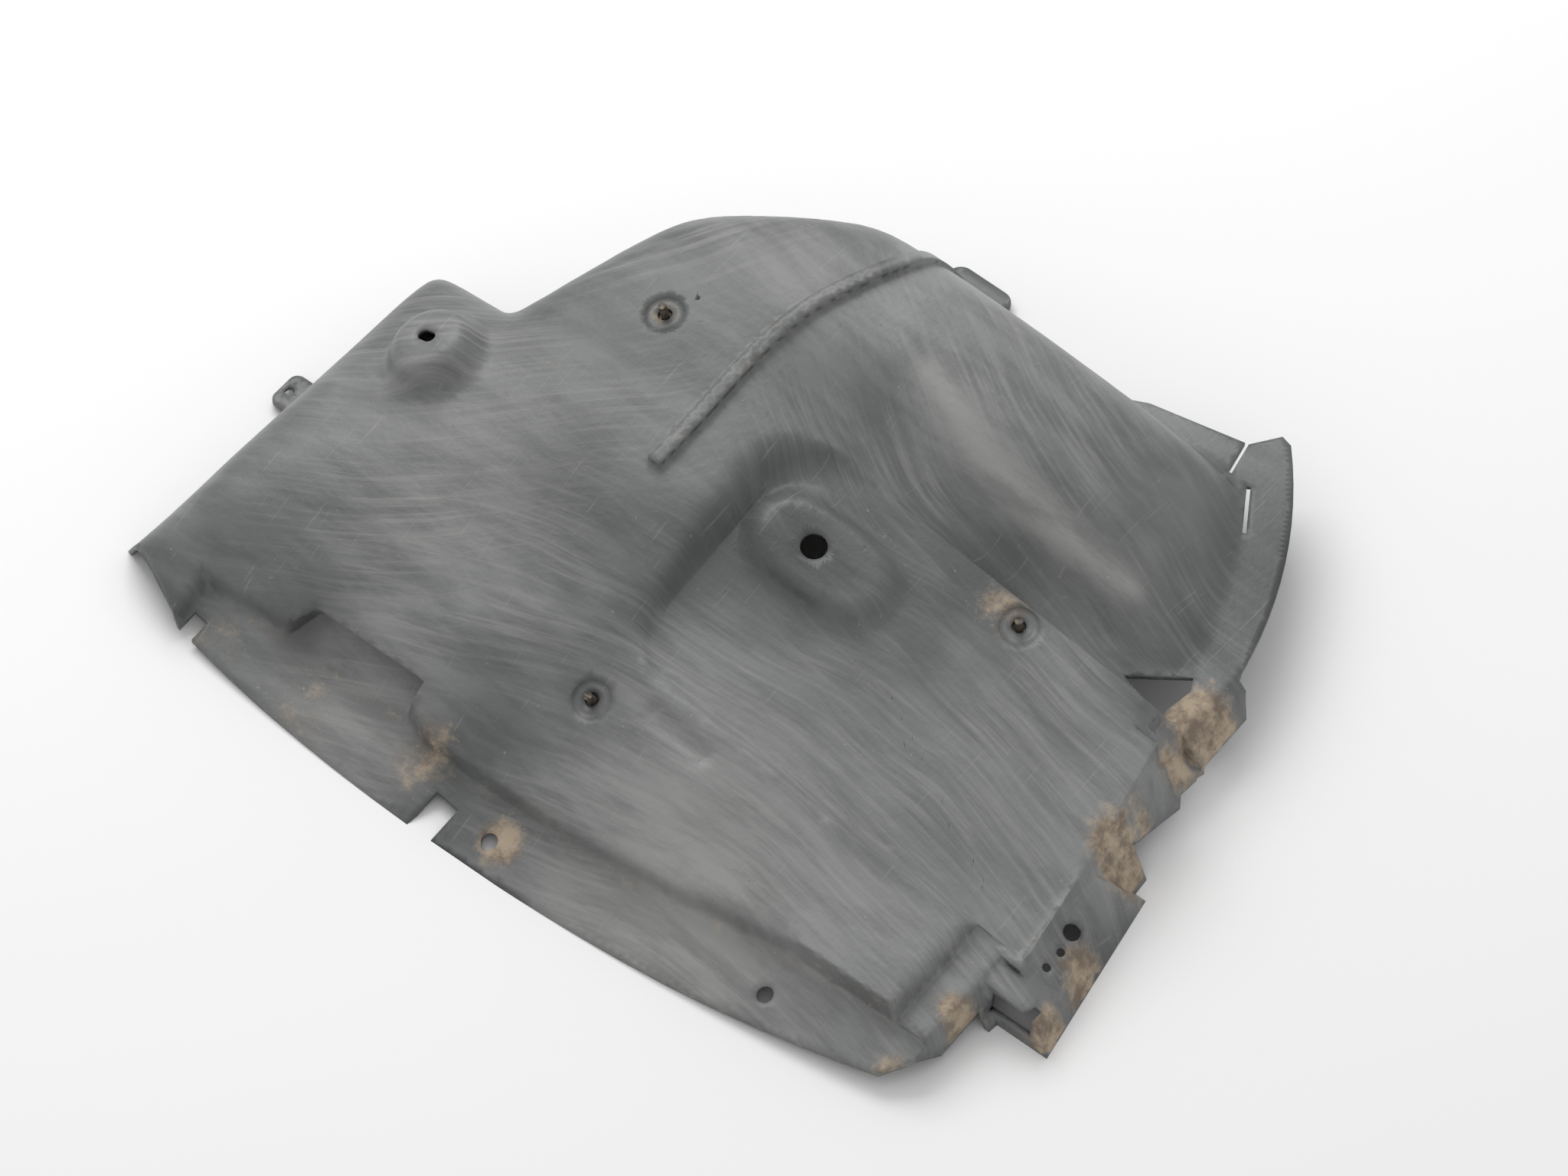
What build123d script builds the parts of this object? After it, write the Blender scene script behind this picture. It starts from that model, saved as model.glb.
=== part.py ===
from build123d import *
import math
import os

# Wheel arch liner: one moulded sheet, lying on its edges, with three fixing screws left in it.
# X runs along the fender edge, Y across the sheet towards its back wall, Z up from the floor.

# Sheet
wall = 3.0

# Crown: the smooth main surface, highest in the middle of its width
front_height = 34.0
front_slope = 0.62
peak_y = 344.0
left_fall = 0.30
left_fall_x = 185.0
left_fall_y = 200.0
right_fall_x = 340.0
right_fall_front = 0.14
right_fall_back = 0.27
fall_rounding = 50.0

# Valley between the tongue and the dome behind it
valley_depth = 34.0
valley_y = 276.0
valley_width = 32.0
valley_start_x = 240.0
valley_length = 160.0

# Steep walls that close the crown, each given by its foot on the floor
wall_slope = 2.6
left_foot_x = 6.0
left_foot_lean = 0.05
left_slope = 3.2
left_back_y = 258.0
corner_foot_x = 84.0
corner_foot_y = 269.0
corner_lean = 0.3
diagonal_x = 106.0
diagonal_y = 359.0
diagonal_angle = 35.7
back_foot_y = 445.0
shoulder = 30.0
saddle = 8.0

# Dome end and the flat flange round it
rim_height = 45.0
dome_end_x = 567.0
dome_end_y = 300.0
dome_end_lean = 0.48
dome_end_slope = 1.2

# Fender flange with its two screw holes
flange_slope = 0.38
flange_edge_y = -53.0
flange_hole_d = 10.5
flange_hole_x = (304.0, 500.0)
flange_hole_y = (-35.0, -19.0)
flange_start_x = 66.0
flange_draft = 28.0

# Tongue: a flat tapering bed let into the crown
tongue_x = 312.0
tongue_end_x = 594.0
tongue_front_y = 86.0
tongue_back_y = 255.0
tongue_height = 103.0
tongue_fall = 0.15
tongue_tilt = 0.185
tongue_corner_front = 26.0
tongue_corner_back = 40.0
tongue_draft = 42.0
tongue_skirt_draft = 14.0

# Oval boss on the tongue, with a clearance hole
oval_x = 364.0
oval_y = 199.0
oval_length = 104.0
oval_width = 62.0
oval_height = 12.0
oval_draft = 35.0
oval_hole_d = 16.5
oval_hole_x = 358.0

# Round boss at the left of the crown
round_boss_x = 92.0
round_boss_y = 172.0
round_boss_r = 32.0
round_boss_height = 18.0
round_boss_draft = 28.0
round_boss_hole_d = 8.0

# Stiffening rib over the crown
rib_width = 9.0
rib_height = 5.0

# Short groove below the tongue
groove_length = 46.0
groove_width = 9.0
groove_depth = 3.0
groove_x = 368.0
groove_y = 62.0

# End of the lower panel and its border
panel_end_x = 577.0
border_height = 25.0
border_rise = 0.13
panel_draft = 20.0
end_lip_x = 598.0
end_lip_slope = 2.2

# Box at the bottom end
block_front_y = 57.0
block_back_y = 181.0
block_out_x = 650.0
block_height = 36.0
block_fall = 0.45
block_hole_d = 11.0

# Fixing screws and their flat pads
pad_d = 24.0
pad_depth = 0.6
screw_hole_d = 9.0
shank_d = 5.0
tip_length = 9.0
washer_d = 17.0
washer_height = 2.0
hex_size = 8.0
hex_height = 5.0
seat_gap = 0.1

# Tears and slits in the flange round the dome
strip_x = 412.0
slit_width = 2.4

# Small values of the pressed features
ledge_slope = 0.86
ledge_draft = 12.0
bed_reach = 45.0
block_loft = 50.0
round_boss_root = 10.0
groove_draft = 40.0

# Extent of the construction surfaces
x_low, x_high = -20.0, 680.0
y_low, y_high = -90.0, 500.0
floor_depth = 60.0
grid_step = 10.0
tall = 200.0


def smooth_min(a, b, rounding):
    return (a + b - math.hypot(a - b, rounding)) / 2


def smooth_max(a, b, rounding):
    return (a + b + math.hypot(a - b, rounding)) / 2


def ramp(distance, rounding):
    return (distance + math.hypot(distance, rounding)) / 2


def ease(t):
    t = min(max(t, 0.0), 1.0)
    return t * t * (3 - 2 * t)


def crown_height(x, y):
    """Height of the main surface, before the walls close it."""
    z = front_height + front_slope * y - front_slope / (2 * peak_y) * y * y
    z -= left_fall * ramp(left_fall_x - x, fall_rounding) * ease(y / left_fall_y)
    front_share = ease((y + 20) / (tongue_front_y + 20))
    back_share = ease((y - tongue_front_y) / (tongue_back_y - tongue_front_y))
    fall = right_fall_front * front_share + (right_fall_back - right_fall_front) * back_share
    z -= fall * ramp(x - right_fall_x, fall_rounding)
    dip = valley_depth * ease((x - valley_start_x) / valley_length)
    return z - dip * math.exp(-(((y - valley_y) / valley_width) ** 2))


def sheet_height(x, y):
    """Height of the outer face of the sheet: the crown, closed by its walls."""
    crown = crown_height(x, y)
    left_wall = left_slope * (x - left_foot_x - left_foot_lean * y)
    low_part = smooth_min(crown, left_wall, shoulder)
    low_part = smooth_min(low_part, wall_slope * (left_back_y - y), shoulder)
    turn = math.radians(diagonal_angle)
    inside = (x - diagonal_x) * math.sin(turn) - (y - diagonal_y) * math.cos(turn)
    corner_x = corner_foot_x + corner_lean * (y - corner_foot_y)
    end_x = dome_end_x + dome_end_lean * (dome_end_y - y)
    dome = smooth_min(crown, wall_slope * (x - corner_x), shoulder)
    dome = smooth_min(dome, wall_slope * inside, shoulder)
    dome = smooth_min(dome, wall_slope * (back_foot_y - y), shoulder)
    dome = smooth_min(dome, rim_height + dome_end_slope * (end_x - x), shoulder)
    return smooth_max(smooth_max(low_part, dome, saddle), -floor_depth, shoulder)


def face_height(x, y, depth):
    """Height of the face that lies a given depth inside the sheet, measured square to it."""
    half = 2.0
    rise_x = (sheet_height(x + half, y) - sheet_height(x - half, y)) / (2 * half)
    rise_y = (sheet_height(x, y + half) - sheet_height(x, y - half)) / (2 * half)
    return sheet_height(x, y) - depth * math.sqrt(1 + rise_x**2 + rise_y**2)


def surface_normal(x, y):
    half = 2.0
    rise_x = (sheet_height(x + half, y) - sheet_height(x - half, y)) / (2 * half)
    rise_y = (sheet_height(x, y + half) - sheet_height(x, y - half)) / (2 * half)
    return Vector(-rise_x, -rise_y, 1).normalized()


def formed_face(depth):
    """The smooth face of the sheet at a given depth."""
    columns = int((x_high - x_low) / grid_step) + 1
    rows = int((y_high - y_low) / grid_step) + 1
    points = []
    for i in range(columns):
        x = x_low + i * grid_step
        y_values = [y_low + j * grid_step for j in range(rows)]
        points.append([(x, y, face_height(x, y, depth)) for y in y_values])
    return Face.make_surface_from_array_of_points(points, tol=0.3, min_deg=3, max_deg=3)


def sloped_plane(x, y, z, rise_x, rise_y):
    return Plane(origin=(x, y, z), x_dir=(1, 0, rise_x), z_dir=(-rise_x, -rise_y, 1))


def corner_shift(depth, draft):
    """How far a drafted outline moves sideways on a face that lies a given depth lower."""
    return depth * (1 / math.cos(math.radians(draft)) - math.tan(math.radians(draft)))


def on_plane(plane, x, y):
    """Sketch position on a sloped plane of the point above plan position x, y."""
    normal = plane.z_dir
    rise = -(normal.X * (x - plane.origin.X) + normal.Y * (y - plane.origin.Y)) / normal.Z
    place = plane.to_local_coords(Vector(x, y, plane.origin.Z + rise))
    return (place.X, place.Y)


def tangent_plane(x, y):
    return Plane(origin=(x, y, sheet_height(x, y)), x_dir=(1, 0, 0), z_dir=surface_normal(x, y))


def bed(plane, corners, depth, draft):
    """Flat bed pressed into the sheet: its outline on a plane, with drafted walls above it."""
    level = plane.offset(-depth)
    with BuildPart() as tool:
        with BuildSketch(level):
            Polygon(*[on_plane(level, x, y) for x, y in corners], align=None)
            if depth:
                offset(amount=corner_shift(depth, draft), kind=Kind.INTERSECTION)
        extrude(amount=bed_reach, taper=-draft)
    return tool.part


def end_fall(plane, depth, start_y, end_y):
    """Everything above a steep falling plane, between two stations along the end."""
    level = plane.offset(-depth)
    middle = on_plane(level, plane.origin.X, (start_y + end_y) / 2)
    with BuildPart() as tool:
        with BuildSketch(level):
            with Locations(middle):
                Rectangle(tall, end_y - start_y)
        extrude(amount=tall)
    return tool.part


flange_plane = sloped_plane(0, flange_edge_y, 0, 0, flange_slope)
ledge_y = -5.0
ledge_z = flange_slope * (ledge_y - flange_edge_y)
ledge_plane = sloped_plane(0, ledge_y, ledge_z, 0, ledge_slope)
tongue_plane = sloped_plane(350, tongue_back_y, tongue_height, -tongue_fall, tongue_tilt)
border_plane = sloped_plane(panel_end_x, 0, border_height, 0, border_rise)
block_plane = sloped_plane(610, 105, block_height, -block_fall, 0.06)
front_end_plane = sloped_plane(end_lip_x, 30, border_height + 30 * border_rise, -end_lip_slope, border_rise)
tongue_end_plane = sloped_plane(602, 154, 46.5, -2.6, -0.265)
tab_plane = sloped_plane(585, 277, rim_height, -1.3, 0)


def tongue_tool(depth, amount, draft, grow):
    level = tongue_plane.offset(-depth)
    corners = [
        (tongue_x, tongue_front_y),
        (tongue_end_x + 12, tongue_front_y),
        (tongue_end_x + 8, 154),
        (tongue_end_x - 10, tongue_back_y - 2),
        (tongue_x, tongue_back_y),
    ]
    with BuildPart() as tool:
        with BuildSketch(level) as outline:
            Polygon(*[on_plane(level, x, y) for x, y in corners], align=None)
            left = outline.vertices().sort_by(Axis.X)[0:2].sort_by(Axis.Y)
            fillet(left[0], tongue_corner_front)
            left = outline.vertices().sort_by(Axis.X).sort_by(Axis.Y)[-2:].sort_by(Axis.X)
            fillet(left[0], tongue_corner_back)
            if depth:
                offset(amount=grow)
        extrude(amount=amount, taper=-draft)
    return tool.part


def end_block(depth):
    """Hollow box at the bottom end: drafted walls under a falling top."""
    side = depth * 1.1
    base = [(560, block_back_y), (block_out_x - 25, block_back_y - 1), (block_out_x, block_front_y), (560, block_front_y)]
    head = [(560, 149), (block_out_x - 44, 148), (block_out_x - 21, block_front_y + 7), (560, block_front_y + 7)]
    with BuildPart() as tool:
        with BuildSketch(Plane.XY):
            Polygon(*base, align=None)
            if depth:
                offset(amount=-side, kind=Kind.INTERSECTION)
        with BuildSketch(Plane.XY.offset(block_loft)):
            Polygon(*head, align=None)
            if depth:
                offset(amount=-side, kind=Kind.INTERSECTION)
        loft()
        with BuildSketch(Plane.XY):
            Polygon(*base, align=None)
            if depth:
                offset(amount=-side, kind=Kind.INTERSECTION)
        extrude(amount=-block_loft)
        with BuildSketch(block_plane.offset(-depth), tongue_plane.offset(-depth)):
            Rectangle(4 * tall, 4 * tall)
        extrude(amount=tall, mode=Mode.SUBTRACT)
    return tool.part


screw_planes = [
    tangent_plane(195, 259),
    tangent_plane(312, 50),
    Plane(
        origin=tongue_plane.from_local_coords(Vector(*on_plane(tongue_plane, 479, 241), 0)),
        x_dir=(1, 0, 0),
        z_dir=tongue_plane.z_dir,
    ),
]


def formed_body(face, depth):
    """Solid under the face that lies a given depth inside the sheet, with every pressed feature."""
    flange_line = [
        (flange_start_x - 4, y_low),
        (flange_start_x, -7),
        (122, -5),
        (218, -5),
        (228, -13),
        (330, -13),
        (420, -6),
        (500, 6),
        (x_high, 10),
        (x_high, y_low),
    ]
    ledge_line = [(124, ledge_y), (216, ledge_y), (216, 14), (136, 14)]
    border_line = [(panel_end_x, y_low), (panel_end_x, 84), (x_high, 84), (x_high, y_low)]
    cuts = [
        bed(flange_plane, flange_line, depth, flange_draft),
        bed(ledge_plane, ledge_line, depth, ledge_draft),
        bed(border_plane, border_line, depth, panel_draft),
        tongue_tool(depth, bed_reach, tongue_draft, corner_shift(depth, tongue_draft)),
    ]
    tongue_base = tongue_tool(depth, -tall, tongue_skirt_draft, -corner_shift(depth, tongue_skirt_draft))
    falls = [
        end_fall(front_end_plane, depth, -40, 78),
        end_fall(tongue_end_plane, depth, 60, 258),
    ]
    tab_fall = end_fall(tab_plane, depth, 236, 318)
    block = end_block(depth)
    round_plane = tangent_plane(round_boss_x, round_boss_y).offset(-depth - round_boss_root)
    oval_plane = tongue_plane.offset(-depth)
    groove_plane = tangent_plane(groove_x, groove_y).offset(-depth - groove_depth)
    with BuildPart() as body:
        extrude(face, amount=tall, dir=(0, 0, -1))
        for tool in cuts:
            add(tool, mode=Mode.SUBTRACT)
        add(tongue_base)
        with BuildSketch(Plane.XY.offset(rim_height - depth)):
            with Locations((strip_x + depth, 262 + depth)):
                Rectangle(220, 230, align=(Align.MIN, Align.MIN))
        extrude(amount=-tall)
        for tool in falls:
            add(tool, mode=Mode.SUBTRACT)
        add(tab_fall, mode=Mode.SUBTRACT)
        add(block)
        with BuildSketch(oval_plane):
            with Locations(on_plane(oval_plane, oval_x, oval_y)):
                inset = 2 * corner_shift(depth, oval_draft)
                SlotOverall(oval_length - inset, oval_width - inset)
        extrude(amount=oval_height, taper=oval_draft)
        with BuildSketch(round_plane):
            spread = round_boss_root * math.tan(math.radians(round_boss_draft))
            Circle(round_boss_r + spread - corner_shift(depth, round_boss_draft))
        extrude(amount=round_boss_height + round_boss_root, taper=round_boss_draft)
        with BuildSketch(groove_plane):
            grow = 2 * corner_shift(depth, groove_draft)
            SlotOverall(groove_length + grow, groove_width + grow, rotation=-5)
        extrude(amount=bed_reach, taper=-groove_draft, mode=Mode.SUBTRACT)
        for plane in screw_planes:
            with BuildSketch(plane.offset(-depth - pad_depth)):
                Circle(pad_d / 2)
            extrude(amount=10, mode=Mode.SUBTRACT)
    return body.part


outer_face = formed_face(0)
outer_body = formed_body(outer_face, 0)
inner_body = formed_body(formed_face(wall), wall)

# Rib: a band of the outer face, raised
with BuildPart() as rib:
    with BuildSketch(Plane.XY):
        with BuildLine():
            Spline((255, 176), (257, 232), (263, 315), (275, 351), (289, 393), (297, 428))
        trace(line_width=rib_width)
    extrude(amount=tall)
    extrude(outer_face.moved(Location((0, 0, rib_height))), amount=rib_height + 1, dir=(0, 0, -1), mode=Mode.INTERSECT)

# Shell: the sheet between the two bodies, trimmed to its plan outline
with BuildPart() as shell:
    with BuildSketch(Plane.XY):
        with BuildLine():
            front = ThreePointArc((60, -33), (325, flange_edge_y), (586, -20))
            corner = Polyline(front @ 1, (598, -5), (604, 16), (604, 50), (664, 50), (664, 192), (604, 192))
            tab = Polyline(corner @ 1, (604, 238), (601, 242), (599, 306), (592, 314), (586, 314))
            ring = ThreePointArc(tab @ 1, (558, 392), (506, 464))
            strip = Polyline(ring @ 1, (498, 466), (486, 449), (422, 435), (strip_x, 430), (strip_x, 480))
            Polyline(strip @ 1, (-14, 480), (-14, -2), (6, -9), front @ 0)
        make_face()
        with Locations((71, -30)):
            Rectangle(11, 16, rotation=-8, mode=Mode.SUBTRACT)
        with Locations((266, -43)):
            Rectangle(18, 28, rotation=-6, mode=Mode.SUBTRACT)
    extrude(amount=tall)
    add(outer_body, mode=Mode.INTERSECT)
    add(inner_body, mode=Mode.SUBTRACT)
    add(rib.part)
    with BuildSketch(Plane.XY.offset(wall)) as tabs:
        with Locations((7, 139)):
            Rectangle(18, 26)
        with Locations((274, 453.5)):
            Rectangle(45, 24)
        fillet(tabs.vertices().group_by(Axis.X)[0], 6)
        fillet(tabs.vertices().group_by(Axis.Y)[-1], 9)
        with Locations((4, 139)):
            Circle(3, mode=Mode.SUBTRACT)
    extrude(amount=wall)
    with BuildSketch(flange_plane):
        with Locations(*[on_plane(flange_plane, x, y) for x, y in zip(flange_hole_x, flange_hole_y)]):
            Circle(flange_hole_d / 2)
    extrude(amount=4 * wall, both=True, mode=Mode.SUBTRACT)
    with BuildSketch(tongue_plane):
        with Locations(on_plane(tongue_plane, oval_hole_x, oval_y)):
            Circle(oval_hole_d / 2)
    extrude(amount=3 * oval_height, both=True, mode=Mode.SUBTRACT)
    with BuildSketch(tangent_plane(round_boss_x, round_boss_y)):
        SlotOverall(1.6 * round_boss_hole_d, round_boss_hole_d)
    extrude(amount=2 * round_boss_height, mode=Mode.SUBTRACT)
    with BuildSketch(block_plane):
        with Locations(on_plane(block_plane, block_out_x - 31, 118)):
            Circle(block_hole_d / 2)
        with Locations(on_plane(block_plane, block_out_x - 28, 104), on_plane(block_plane, block_out_x - 28, 91)):
            Circle(block_hole_d / 4)
    extrude(amount=2 * wall, both=True, mode=Mode.SUBTRACT)
    for plane in screw_planes:
        with BuildSketch(plane):
            Circle(screw_hole_d / 2)
        extrude(amount=4 * wall, both=True, mode=Mode.SUBTRACT)
    with BuildSketch(Plane.XY.offset(rim_height - 5 * wall)):
        Polygon((533, 272), (549, 284), (566, 297), (571, 288), (568, 268), (578, 246), (574, 245), (562, 265), align=None)
        with BuildLine() as slits:
            Line((484, 452), (490, 426))
        trace(slits.line, line_width=slit_width)
        with BuildLine() as crease:
            Line((505, 425), (524, 397))
        trace(crease.line, line_width=slit_width)
    extrude(amount=10 * wall, mode=Mode.SUBTRACT)
    with Locations((block_out_x - 29, block_front_y, 16)):
        Box(30, 24, 16, mode=Mode.SUBTRACT)

# Screws: washer head under the sheet, threaded tip above it
with BuildPart() as screws:
    for plane in screw_planes:
        seat = plane.offset(-pad_depth - wall - seat_gap)
        with BuildSketch(seat):
            Circle(washer_d / 2)
        extrude(amount=-washer_height)
        with BuildSketch(seat.offset(-washer_height)):
            RegularPolygon(hex_size / 2, 6, major_radius=False)
        extrude(amount=-hex_height)
        with BuildSketch(seat):
            Circle(shank_d / 2)
        extrude(amount=seat_gap + wall + tip_length)

box = shell.part.bounding_box()
home = Location((-(box.min.X + box.max.X) / 2, -(box.min.Y + box.max.Y) / 2, -box.min.Z))

with BuildPart() as liner_shell:
    with Locations(home):
        add(shell.part)

with BuildPart() as fixing_screws:
    with Locations(home):
        add(screws.part)

os.makedirs("parts", exist_ok=True)
liner_shell.part.label = "liner_shell"
export_step(liner_shell.part, "parts/liner_shell.step")
fixing_screws.part.label = "fixing_screws"
export_step(fixing_screws.part, "parts/fixing_screws.step")
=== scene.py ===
import math

import bmesh
import bpy
import numpy as np
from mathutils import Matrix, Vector


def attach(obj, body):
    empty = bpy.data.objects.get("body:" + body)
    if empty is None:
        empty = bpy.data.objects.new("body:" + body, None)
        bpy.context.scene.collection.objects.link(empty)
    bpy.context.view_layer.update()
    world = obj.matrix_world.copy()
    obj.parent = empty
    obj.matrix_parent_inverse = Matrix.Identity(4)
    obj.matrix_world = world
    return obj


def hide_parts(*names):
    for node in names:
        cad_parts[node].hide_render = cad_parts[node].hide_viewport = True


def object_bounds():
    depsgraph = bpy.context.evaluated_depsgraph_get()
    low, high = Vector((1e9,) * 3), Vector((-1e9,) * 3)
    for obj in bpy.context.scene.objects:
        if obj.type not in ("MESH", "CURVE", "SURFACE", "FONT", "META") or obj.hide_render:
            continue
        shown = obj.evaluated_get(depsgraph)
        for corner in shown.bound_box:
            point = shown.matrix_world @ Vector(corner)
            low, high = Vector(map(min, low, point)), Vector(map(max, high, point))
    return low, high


# The frame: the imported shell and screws, in metres, lying on the floor at z = 0
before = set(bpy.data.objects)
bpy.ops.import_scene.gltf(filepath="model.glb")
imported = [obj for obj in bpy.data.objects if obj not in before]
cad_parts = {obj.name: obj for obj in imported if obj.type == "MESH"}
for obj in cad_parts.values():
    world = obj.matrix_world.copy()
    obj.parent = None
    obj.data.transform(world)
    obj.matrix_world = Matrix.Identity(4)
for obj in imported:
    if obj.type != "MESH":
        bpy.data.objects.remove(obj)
cad_low, cad_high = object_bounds()
scene = bpy.context.scene

# The finer shell mesh: lengths in metres, rounds of work, and the angle from which an edge counts as cut
same_point = 1e-6
longest_edge = 0.0068
split_rounds = 8
smooth_rounds = 5
smooth_share = 0.45
rim_angle = math.radians(66)

# Camera: the photo's direction, given by where it looks and from which side, through a long lens
look_at = Vector((0.022, -0.0205, 0.060))
towards_camera = Vector((0.364, -0.443, 0.819)).normalized()
camera_distance = 12.0
view_width = 0.922
sensor_width = 36

# Floor, even white surround and one wide window lamp, in metres and watts
floor_size = 12
surround_white = (1, 1, 1, 1)
surround_strength = 0.62
window_watts = 40
window_width = 2.2
window_height = 1.6
window_place = Vector((-1.5, 1.0, 1.9))

# Colours, as linear light
plastic_dark = (0.102, 0.108, 0.108, 1)
plastic_grey = (0.238, 0.244, 0.244, 1)
# Grey for dust, also for the painted highlight
dust_and_highlight_grey = (0.345, 0.345, 0.332, 1)
# Black for grime on the plastic and for painted shade
grime_and_shade_black = (0.019, 0.019, 0.019, 1)
mud_tan = (0.49, 0.39, 0.28, 1)
mud_brown = (0.21, 0.157, 0.112, 1)
steel_dark = (0.08, 0.072, 0.064, 1)
steel_brown = (0.19, 0.152, 0.112, 1)
floor_white = (0.97, 0.97, 0.97, 1)

# How strongly each layer of dirt and of painted shade covers what lies under it
# Share of painted shade laid in the shade patches
painted_shade_share = 0.8
unworn_share = 0.3
dust_share = 0.55
scratch_share = 0.22
# Share of painted shade on the steep walls
painted_wall_shade_share = 0.4
speck_share = 0.6
soil_share = 0.85

# Roughness of each surface
plastic_rough = 0.42
dust_adds_rough = 0.18
soil_rough = 0.9
steel_rough = 0.55
floor_rough = 0.9

# Plan millimetres to the metre, and where the plan's zero lies in the row frame
plan_scale = 1000
plan_shift = np.array([-324.0, -206.5])

# Mud patches as plan x, plan y, radius in millimetres, and strength
mud_patches = [
    (310, -32, 16, 0.9),
    (590, -14, 14, 0.6),
    (601, 36, 16, 0.8),
    (588, 278, 24, 1.0),
    (594, 246, 14, 0.8),
    (604, 205, 14, 0.6),
    (606, 178, 20, 1.0),
    (640, 110, 22, 0.8),
    (646, 66, 18, 0.8),
    (462, 246, 24, 0.5),
    (195, 259, 13, 0.5),
    (240, -20, 26, 0.5),
    (90, -28, 30, 0.35),
    (160, -30, 40, 0.35),
    (92, 172, 36, 0.2),
]

# Patches of painted shade, in the same form
painted_shade_patches = [
    (364, 199, 52, 1.0),
    (318, 150, 40, 0.45),
    (310, 225, 45, 0.5),
    (215, 150, 60, 0.35),
    (420, 150, 70, 0.3),
    (540, 130, 50, 0.3),
    (552, 390, 60, 0.8),
    (130, 2, 16, 0.8),
    (440, 268, 40, 0.4),
    (560, 262, 26, 0.6),
    (312, 50, 14, 0.5),
]

# Dusty patches, in the same form
dust_patches = [
    (430, -24, 90, 0.9),
    (190, -30, 60, 0.5),
    (150, 110, 90, 0.3),
    (460, 60, 50, 0.3),
    (230, 330, 60, 0.3),
]

# Painted highlight along the crease above the valley, as plan points in millimetres, and how far the
# highlight spreads
ridge_highlight_line = [(344, 326), (400, 308), (450, 306), (507, 309)]
ridge_highlight_spread = 11

# Rib and step lines that hold mud, in the same form; beside the rib the mud lies thickest at its foot
line_mud = 0.3
rib_line = [(253, 176), (255, 232), (261, 315), (273, 351)]
rib_foot = 4
rib_spread = 4
step_line = [(78, -10), (124, -8), (216, -8), (232, -16), (330, -16), (420, -9), (500, 3), (575, 8)]
step_spread = 6

# Upward part of the normal below which a wall gets painted shade, and below which a face holds no mud
wall_upward = 0.6
underside_upward = -0.3

# Wiped swirls: the plan point each turns about, the middle of the wiped patch and its reach, in millimetres
swirls = [
    ((-60, 560), (110, 240), 270),
    ((450, -900), (480, 120), 250),
    ((476, -860), (300, 40), 220),
    ((600, 830), (430, 330), 230),
]

# Share of a swirl's reach that is fully wiped, and the height in metres that it turns at
swirl_core = 0.55
swirl_height = 0.06

# Streaks to each metre along the wiping and across it
streak_rate = 9.0
streak_fineness = 230.0


def mesh_copy(node, name):
    """A separate mesh with the node's shape."""
    piece = bpy.data.objects.new(name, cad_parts[node].data.copy())
    scene.collection.objects.link(piece)
    return piece


def refine(piece):
    """Splits long edges so that the surface can be softened, and returns the points on its cut edges."""
    work = bmesh.new()
    work.from_mesh(piece.data)
    bmesh.ops.remove_doubles(work, verts=work.verts, dist=same_point)
    bmesh.ops.triangulate(work, faces=work.faces)
    for _ in range(split_rounds):
        long_edges = [edge for edge in work.edges if edge.calc_length() > longest_edge]
        if not long_edges:
            break
        bmesh.ops.subdivide_edges(work, edges=long_edges, cuts=1, use_grid_fill=False)
        bmesh.ops.triangulate(work, faces=[face for face in work.faces if len(face.verts) > 3])
    bmesh.ops.recalc_face_normals(work, faces=work.faces)
    work.verts.index_update()
    held = set()
    for edge in work.edges:
        if len(edge.link_faces) != 2 or edge.calc_face_angle() > rim_angle:
            held.update(vert.index for vert in edge.verts)
    work.to_mesh(piece.data)
    work.free()
    piece.data.validate()
    return sorted(held)


def mesh_points(mesh):
    """The mesh's points as rows of x, y and z."""
    points = np.zeros(len(mesh.vertices) * 3)
    mesh.vertices.foreach_get("co", points)
    return points.reshape(-1, 3)


def soften(mesh, held):
    """Rounds the pressed creases by averaging each point with its neighbours, cut edges apart."""
    points = mesh_points(mesh)
    edges = np.zeros(len(mesh.edges) * 2, dtype=np.int64)
    mesh.edges.foreach_get("vertices", edges)
    edges = edges.reshape(-1, 2)
    count = np.bincount(edges.ravel(), minlength=len(points))[:, None]
    share = np.full((len(points), 1), smooth_share)
    share[held] = 0
    for _ in range(smooth_rounds):
        total = np.zeros_like(points)
        np.add.at(total, edges[:, 0], points[edges[:, 1]])
        np.add.at(total, edges[:, 1], points[edges[:, 0]])
        points += share * (total / count - points)
    mesh.vertices.foreach_set("co", np.clip(points, np.array(cad_low), np.array(cad_high)).ravel())
    mesh.update()


def distance_to_line(plan, line):
    """Shortest plan distance from each point to a broken line."""
    best = np.full(len(plan), np.inf)
    for start, end in zip(line[:-1], line[1:]):
        a = np.array(start, dtype=float)
        run = np.array(end, dtype=float) - a
        along = np.clip(((plan - a) @ run) / (run @ run), 0, 1)
        best = np.minimum(best, np.linalg.norm(plan - a - along[:, None] * run, axis=1))
    return best


def line_band(plan, line, spread, thickest=0):
    """A band along a broken line, fading both ways from the distance where it is thickest."""
    reach = (distance_to_line(plan, line) - thickest) / spread
    return np.exp(-reach * reach)


def patches(plan, spots):
    """The strongest of several round patches at each point, each fading from its middle."""
    cover = np.zeros(len(plan))
    for x, y, radius, strength in spots:
        reach = np.linalg.norm(plan - (x, y), axis=1) / radius
        cover = np.maximum(cover, strength * np.exp(-reach * reach))
    return cover


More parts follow.
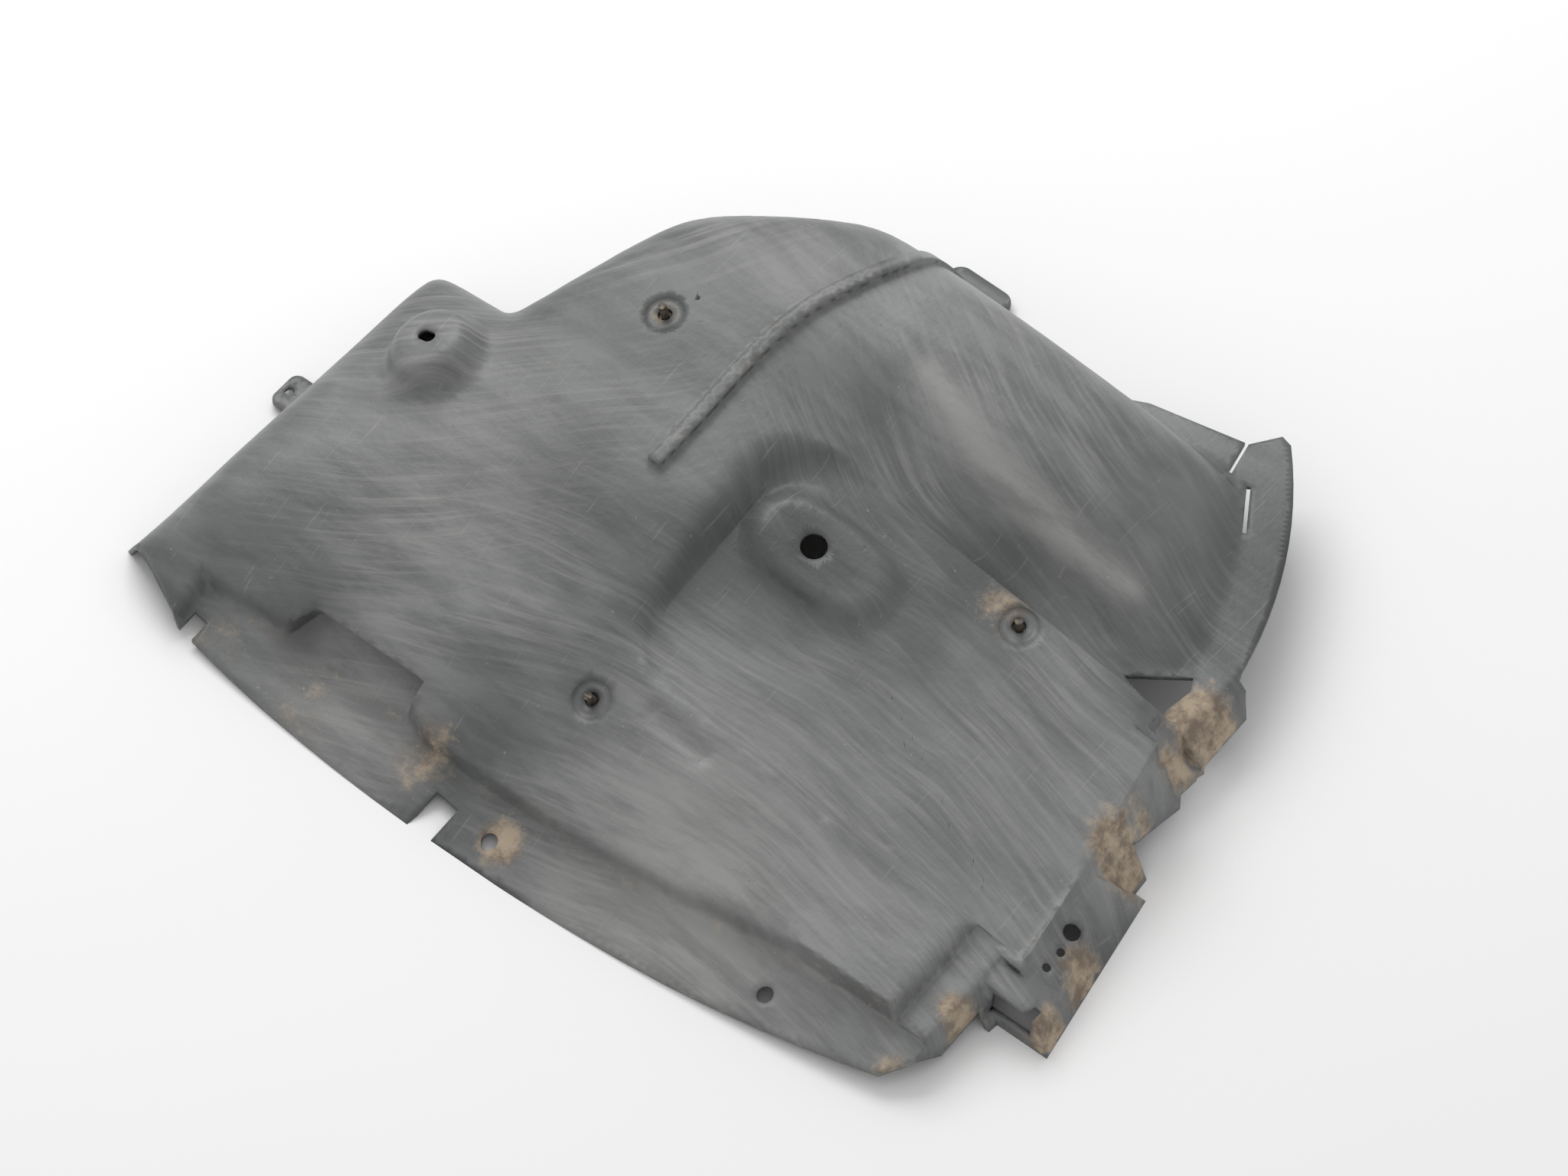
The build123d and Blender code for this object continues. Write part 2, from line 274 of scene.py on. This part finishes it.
def paint_dirt_and_light(mesh):
    """Stores how much mud, painted shade on walls and in patches, and dust with a painted highlight each
    point carries.
    """
    plan = mesh_points(mesh)[:, :2] * plan_scale - plan_shift
    normals = np.zeros(len(mesh.vertices) * 3)
    mesh.vertices.foreach_get("normal", normals)
    upward = normals.reshape(-1, 3)[:, 2]
    mud = patches(plan, mud_patches)
    mud = np.maximum(mud, line_mud * line_band(plan, rib_line, rib_spread, rib_foot))
    mud = np.maximum(mud, line_mud * line_band(plan, step_line, step_spread))
    layers = {
        "mud": mud * (upward > underside_upward),
        # Painted shade: steep walls darker than flatter faces
        "painted_wall_shade": np.clip(1 - np.abs(upward) / wall_upward, 0, 1),
        "shade": patches(plan, painted_shade_patches),
        # Dusty patches, and a painted highlight along the crease above the valley
        "dust_drift_and_highlight": np.maximum(patches(plan, dust_patches), line_band(plan, ridge_highlight_line, ridge_highlight_spread)),
    }
    for name, values in layers.items():
        layer = mesh.attributes.new(name, "FLOAT", "POINT")
        layer.data.foreach_set("value", values.astype(np.float32))


class Nodes:
    """Short calls for the shader nodes of one material."""

    def __init__(self, name):
        self.material = bpy.data.materials.new(name)
        self.material.use_nodes = True
        self.tree = self.material.node_tree
        self.shader = self.tree.nodes["Principled BSDF"]

    def put(self, socket, value):
        """Links a socket to another node's output, or sets its value."""
        if isinstance(value, bpy.types.NodeSocket):
            self.tree.links.new(value, socket)
        else:
            socket.default_value = value

    def surface(self, name, value):
        """Sets one input of the material's surface."""
        self.put(self.shader.inputs[name], value)

    def math(self, operation, a, b):
        node = self.tree.nodes.new("ShaderNodeMath")
        node.operation = operation
        self.put(node.inputs[0], a)
        self.put(node.inputs[1], b)
        return node.outputs[0]

    def times(self, a, b):
        return self.math("MULTIPLY", a, b)

    def plus(self, base, value, share):
        """The base with a share of the value added."""
        return self.math("ADD", base, self.times(value, share))

    def most(self, a, b):
        return self.math("MAXIMUM", a, b)

    def rest(self, share):
        """What a share leaves of 1."""
        return self.math("SUBTRACT", 1.0, share)

    def mix(self, share, a, b):
        """Colour a with a share of colour b; the node's colour sockets follow those for other kinds."""
        node = self.tree.nodes.new("ShaderNodeMix")
        node.data_type = "RGBA"
        self.put(node.inputs[0], share)
        self.put(node.inputs[6], a)
        self.put(node.inputs[7], b)
        return node.outputs[2]

    def steps(self, value, none_at, full_at):
        """0 up to one value and 1 from the other on, smooth between; either may be the larger."""
        node = self.tree.nodes.new("ShaderNodeMapRange")
        node.interpolation_type = "SMOOTHSTEP"
        self.put(node.inputs["Value"], value)
        node.inputs["From Min"].default_value = none_at
        node.inputs["From Max"].default_value = full_at
        return node.outputs["Result"]

    def place(self):
        """Position on the object, in metres."""
        return self.tree.nodes.new("ShaderNodeTexCoord").outputs["Object"]

    def layer(self, name):
        """A layer that paint_dirt_and_light stored."""
        node = self.tree.nodes.new("ShaderNodeAttribute")
        node.attribute_name = name
        return node.outputs["Fac"]

    def noise(self, vector, scale=1.0, detail=4.0, rough=0.55):
        node = self.tree.nodes.new("ShaderNodeTexNoise")
        self.put(node.inputs["Vector"], vector)
        node.inputs["Scale"].default_value = scale
        node.inputs["Detail"].default_value = detail
        node.inputs["Roughness"].default_value = rough
        return node.outputs["Fac"]

    def stretched(self, vector, turn, scale):
        """The position turned by some degrees in plan and scaled along each axis."""
        node = self.tree.nodes.new("ShaderNodeMapping")
        self.put(node.inputs["Vector"], vector)
        node.inputs["Rotation"].default_value = (0, 0, math.radians(turn))
        node.inputs["Scale"].default_value = scale
        return node.outputs["Vector"]

    def wandering(self, vector, scale, amount):
        """The position, pushed about by a slow noise."""
        node = self.tree.nodes.new("ShaderNodeTexNoise")
        self.put(node.inputs["Vector"], vector)
        node.inputs["Scale"].default_value = scale
        node.inputs["Detail"].default_value = 2.0
        push = self.tree.nodes.new("ShaderNodeVectorMath")
        push.operation = "MULTIPLY_ADD"
        self.put(push.inputs[0], node.outputs["Color"])
        push.inputs[1].default_value = (amount, amount, amount)
        self.put(push.inputs[2], vector)
        return push.outputs[0]

    def offset(self, vector, centre):
        """The way from a plan point in millimetres to the position, and its length."""
        away = self.tree.nodes.new("ShaderNodeVectorMath")
        away.operation = "SUBTRACT"
        self.put(away.inputs[0], vector)
        x, y = (np.array(centre) + plan_shift) / plan_scale
        away.inputs[1].default_value = (x, y, swirl_height)
        length = self.tree.nodes.new("ShaderNodeVectorMath")
        length.operation = "LENGTH"
        self.put(length.inputs[0], away.outputs[0])
        return away.outputs[0], length.outputs["Value"]

    def rings(self, vector, centre, turns):
        """Streaks that run round a plan point."""
        away, length = self.offset(vector, centre)
        split = self.tree.nodes.new("ShaderNodeSeparateXYZ")
        self.put(split.inputs[0], away)
        angle = self.math("ARCTAN2", split.outputs[1], split.outputs[0])
        join = self.tree.nodes.new("ShaderNodeCombineXYZ")
        self.put(join.inputs[0], self.times(length, streak_fineness))
        self.put(join.inputs[1], self.times(angle, turns))
        return self.noise(join.outputs[0], detail=6.0, rough=0.7)

    def bump(self, height, strength, depth):
        """Makes the surface look uneven, with a depth in metres."""
        node = self.tree.nodes.new("ShaderNodeBump")
        node.inputs["Strength"].default_value = strength
        node.inputs["Distance"].default_value = depth
        self.put(node.inputs["Height"], height)
        self.surface("Normal", node.outputs["Normal"])


def wiped_dust(nodes, here, bent):
    """Streaks of dust in the wiped swirls, thin in places and gone from the patches of painted shade."""
    dust = 0.0
    for turning_point, middle, reach in swirls:
        turns = streak_rate * math.dist(turning_point, middle) / plan_scale
        streaks = nodes.steps(nodes.rings(bent, turning_point, turns), 0.42, 0.72)
        away = nodes.offset(bent, middle)[1]
        near = nodes.steps(away, reach / plan_scale, swirl_core * reach / plan_scale)
        dust = nodes.most(nodes.times(streaks, near), dust)
    thinned = nodes.times(dust, nodes.steps(nodes.noise(here, scale=9.0, detail=3.0), 0.3, 0.62))
    return nodes.times(thinned, nodes.rest(nodes.layer("shade")))


def worn_streaks(nodes, bent):
    """Long soft streaks where the sheet is worn cleaner."""
    streaks = nodes.noise(nodes.stretched(bent, 35, (14, 70, 30)), detail=5.0, rough=0.65)
    return nodes.steps(streaks, 0.36, 0.64)


def scratches(nodes, here):
    """Fine scratches in two directions."""
    first = nodes.noise(nodes.stretched(here, 40, (500, 14, 60)), detail=2.0)
    second = nodes.noise(nodes.stretched(here, -25, (420, 10, 60)), detail=2.0)
    return nodes.most(nodes.steps(first, 0.66, 0.74), nodes.steps(second, 0.68, 0.76))


def soil_cover(nodes, here):
    """Mud with a ragged edge, grit round it and fine specks all over."""
    ragged = nodes.plus(nodes.layer("mud"), nodes.noise(here, scale=90.0, detail=6.0, rough=0.7), 0.9)
    mud = nodes.times(nodes.steps(ragged, 0.72, 1.12), nodes.steps(nodes.layer("mud"), 0.04, 0.25))
    grit = nodes.steps(nodes.noise(here, scale=420.0, detail=3.0, rough=0.6), 0.62, 0.7)
    grit = nodes.times(grit, nodes.steps(nodes.layer("mud"), 0.12, 0.4))
    specks = nodes.steps(nodes.noise(here, scale=260.0, detail=2.0, rough=0.5), 0.735, 0.77)
    return nodes.most(mud, nodes.most(grit, nodes.times(specks, speck_share)))


def plastic_colour(nodes, here, dust, worn, cover):
    """The bare plastic, then painted shade in patches, darker unworn streaks, dust, dust drifts with a
    painted highlight, scratches, painted shade on the steep walls and soil over it.
    """
    broad = nodes.steps(nodes.noise(here, scale=6.0, detail=3.0), 0.32, 0.68)
    colour = nodes.mix(broad, plastic_dark, plastic_grey)
    # Painted shade: the shade patches darken the plastic towards black
    dark = nodes.times(nodes.layer("shade"), nodes.plus(0.45, worn, 0.55))
    colour = nodes.mix(nodes.times(dark, painted_shade_share), colour, grime_and_shade_black)
    colour = nodes.mix(nodes.times(nodes.rest(worn), unworn_share), colour, grime_and_shade_black)
    colour = nodes.mix(nodes.times(dust, dust_share), colour, dust_and_highlight_grey)
    # Dust drifts and the painted highlight along the crease lighten the plastic
    dust_drift_and_highlight = nodes.times(nodes.layer("dust_drift_and_highlight"), nodes.plus(0.45, worn, 0.45))
    colour = nodes.mix(dust_drift_and_highlight, colour, dust_and_highlight_grey)
    colour = nodes.mix(nodes.times(scratches(nodes, here), scratch_share), colour, dust_and_highlight_grey)
    # Painted shade darkens the steep walls towards black
    colour = nodes.mix(nodes.times(nodes.layer("painted_wall_shade"), painted_wall_shade_share), colour, grime_and_shade_black)
    earth = nodes.steps(nodes.noise(here, scale=60.0, detail=5.0, rough=0.7), 0.38, 0.62)
    soil = nodes.mix(earth, mud_brown, mud_tan)
    return nodes.mix(nodes.times(cover, soil_share), colour, soil)


def plastic_material():
    """Grey-black moulded plastic: wiped dust in swirls, fine scratches, mud and grit, with painted shade
    and a painted highlight.
    """
    nodes = Nodes("weathered_plastic_painted_light")
    here = nodes.place()
    bent = nodes.wandering(here, scale=4.0, amount=0.05)
    dust = wiped_dust(nodes, here, bent)
    worn = worn_streaks(nodes, bent)
    cover = soil_cover(nodes, here)
    nodes.surface("Base Color", plastic_colour(nodes, here, dust, worn, cover))
    rough = nodes.plus(plastic_rough, dust, dust_adds_rough)
    nodes.surface("Roughness", nodes.most(rough, nodes.times(cover, soil_rough)))
    height = nodes.plus(nodes.noise(here, scale=220.0, detail=5.0), cover, 1.2)
    nodes.bump(height, strength=0.35, depth=0.0008)
    return nodes.material


def screw_material():
    """Dull dirty steel with the thread as fine rings."""
    nodes = Nodes("dirty_steel")
    here = nodes.place()
    dirt = nodes.steps(nodes.noise(here, scale=300.0), 0.4, 0.65)
    nodes.surface("Base Color", nodes.mix(dirt, steel_dark, steel_brown))
    nodes.surface("Metallic", 0.6)
    nodes.surface("Roughness", steel_rough)
    wave = nodes.tree.nodes.new("ShaderNodeTexWave")
    wave.bands_direction = "Z"
    wave.inputs["Scale"].default_value = 260.0
    nodes.put(wave.inputs["Vector"], here)
    nodes.bump(wave.outputs["Fac"], strength=0.9, depth=0.0006)
    return nodes.material


def floor_material():
    """Plain white floor."""
    nodes = Nodes("floor_white")
    nodes.surface("Base Color", floor_white)
    nodes.surface("Roughness", floor_rough)
    return nodes.material


def white_floor():
    bpy.ops.mesh.primitive_plane_add(size=floor_size)
    floor = bpy.context.object
    floor.name = "floor"
    floor.data.materials.append(floor_material())


def white_surround():
    world = bpy.data.worlds.new("studio")
    scene.world = world
    world.use_nodes = True
    background = world.node_tree.nodes["Background"]
    background.inputs["Color"].default_value = surround_white
    background.inputs["Strength"].default_value = surround_strength


def window_lamp():
    lamp = bpy.data.lights.new("window", "AREA")
    lamp.shape = "RECTANGLE"
    lamp.size = window_width
    lamp.size_y = window_height
    lamp.energy = window_watts
    window = bpy.data.objects.new("window", lamp)
    scene.collection.objects.link(window)
    window.location = window_place
    window.rotation_mode = "QUATERNION"
    window.rotation_quaternion = (look_at - window_place).to_track_quat("-Z", "Y")


def photo_camera():
    data = bpy.data.cameras.new("camera")
    camera = bpy.data.objects.new("camera", data)
    scene.collection.objects.link(camera)
    data.sensor_width = sensor_width
    data.lens = sensor_width * camera_distance / view_width
    camera.location = look_at + towards_camera * camera_distance
    camera.rotation_mode = "QUATERNION"
    camera.rotation_quaternion = (-towards_camera).to_track_quat("-Z", "Y")
    scene.camera = camera


shell = mesh_copy("liner_shell", "weathered_shell")
soften(shell.data, refine(shell))
paint_dirt_and_light(shell.data)
shell.data.materials.clear()
shell.data.materials.append(plastic_material())
shell.data.set_sharp_from_angle(angle=rim_angle)
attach(shell, "root")
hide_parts("liner_shell")

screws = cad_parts["fixing_screws"]
screws.data.materials.clear()
screws.data.materials.append(screw_material())

white_floor()
white_surround()
window_lamp()
photo_camera()
scene.view_settings.view_transform = "Standard"
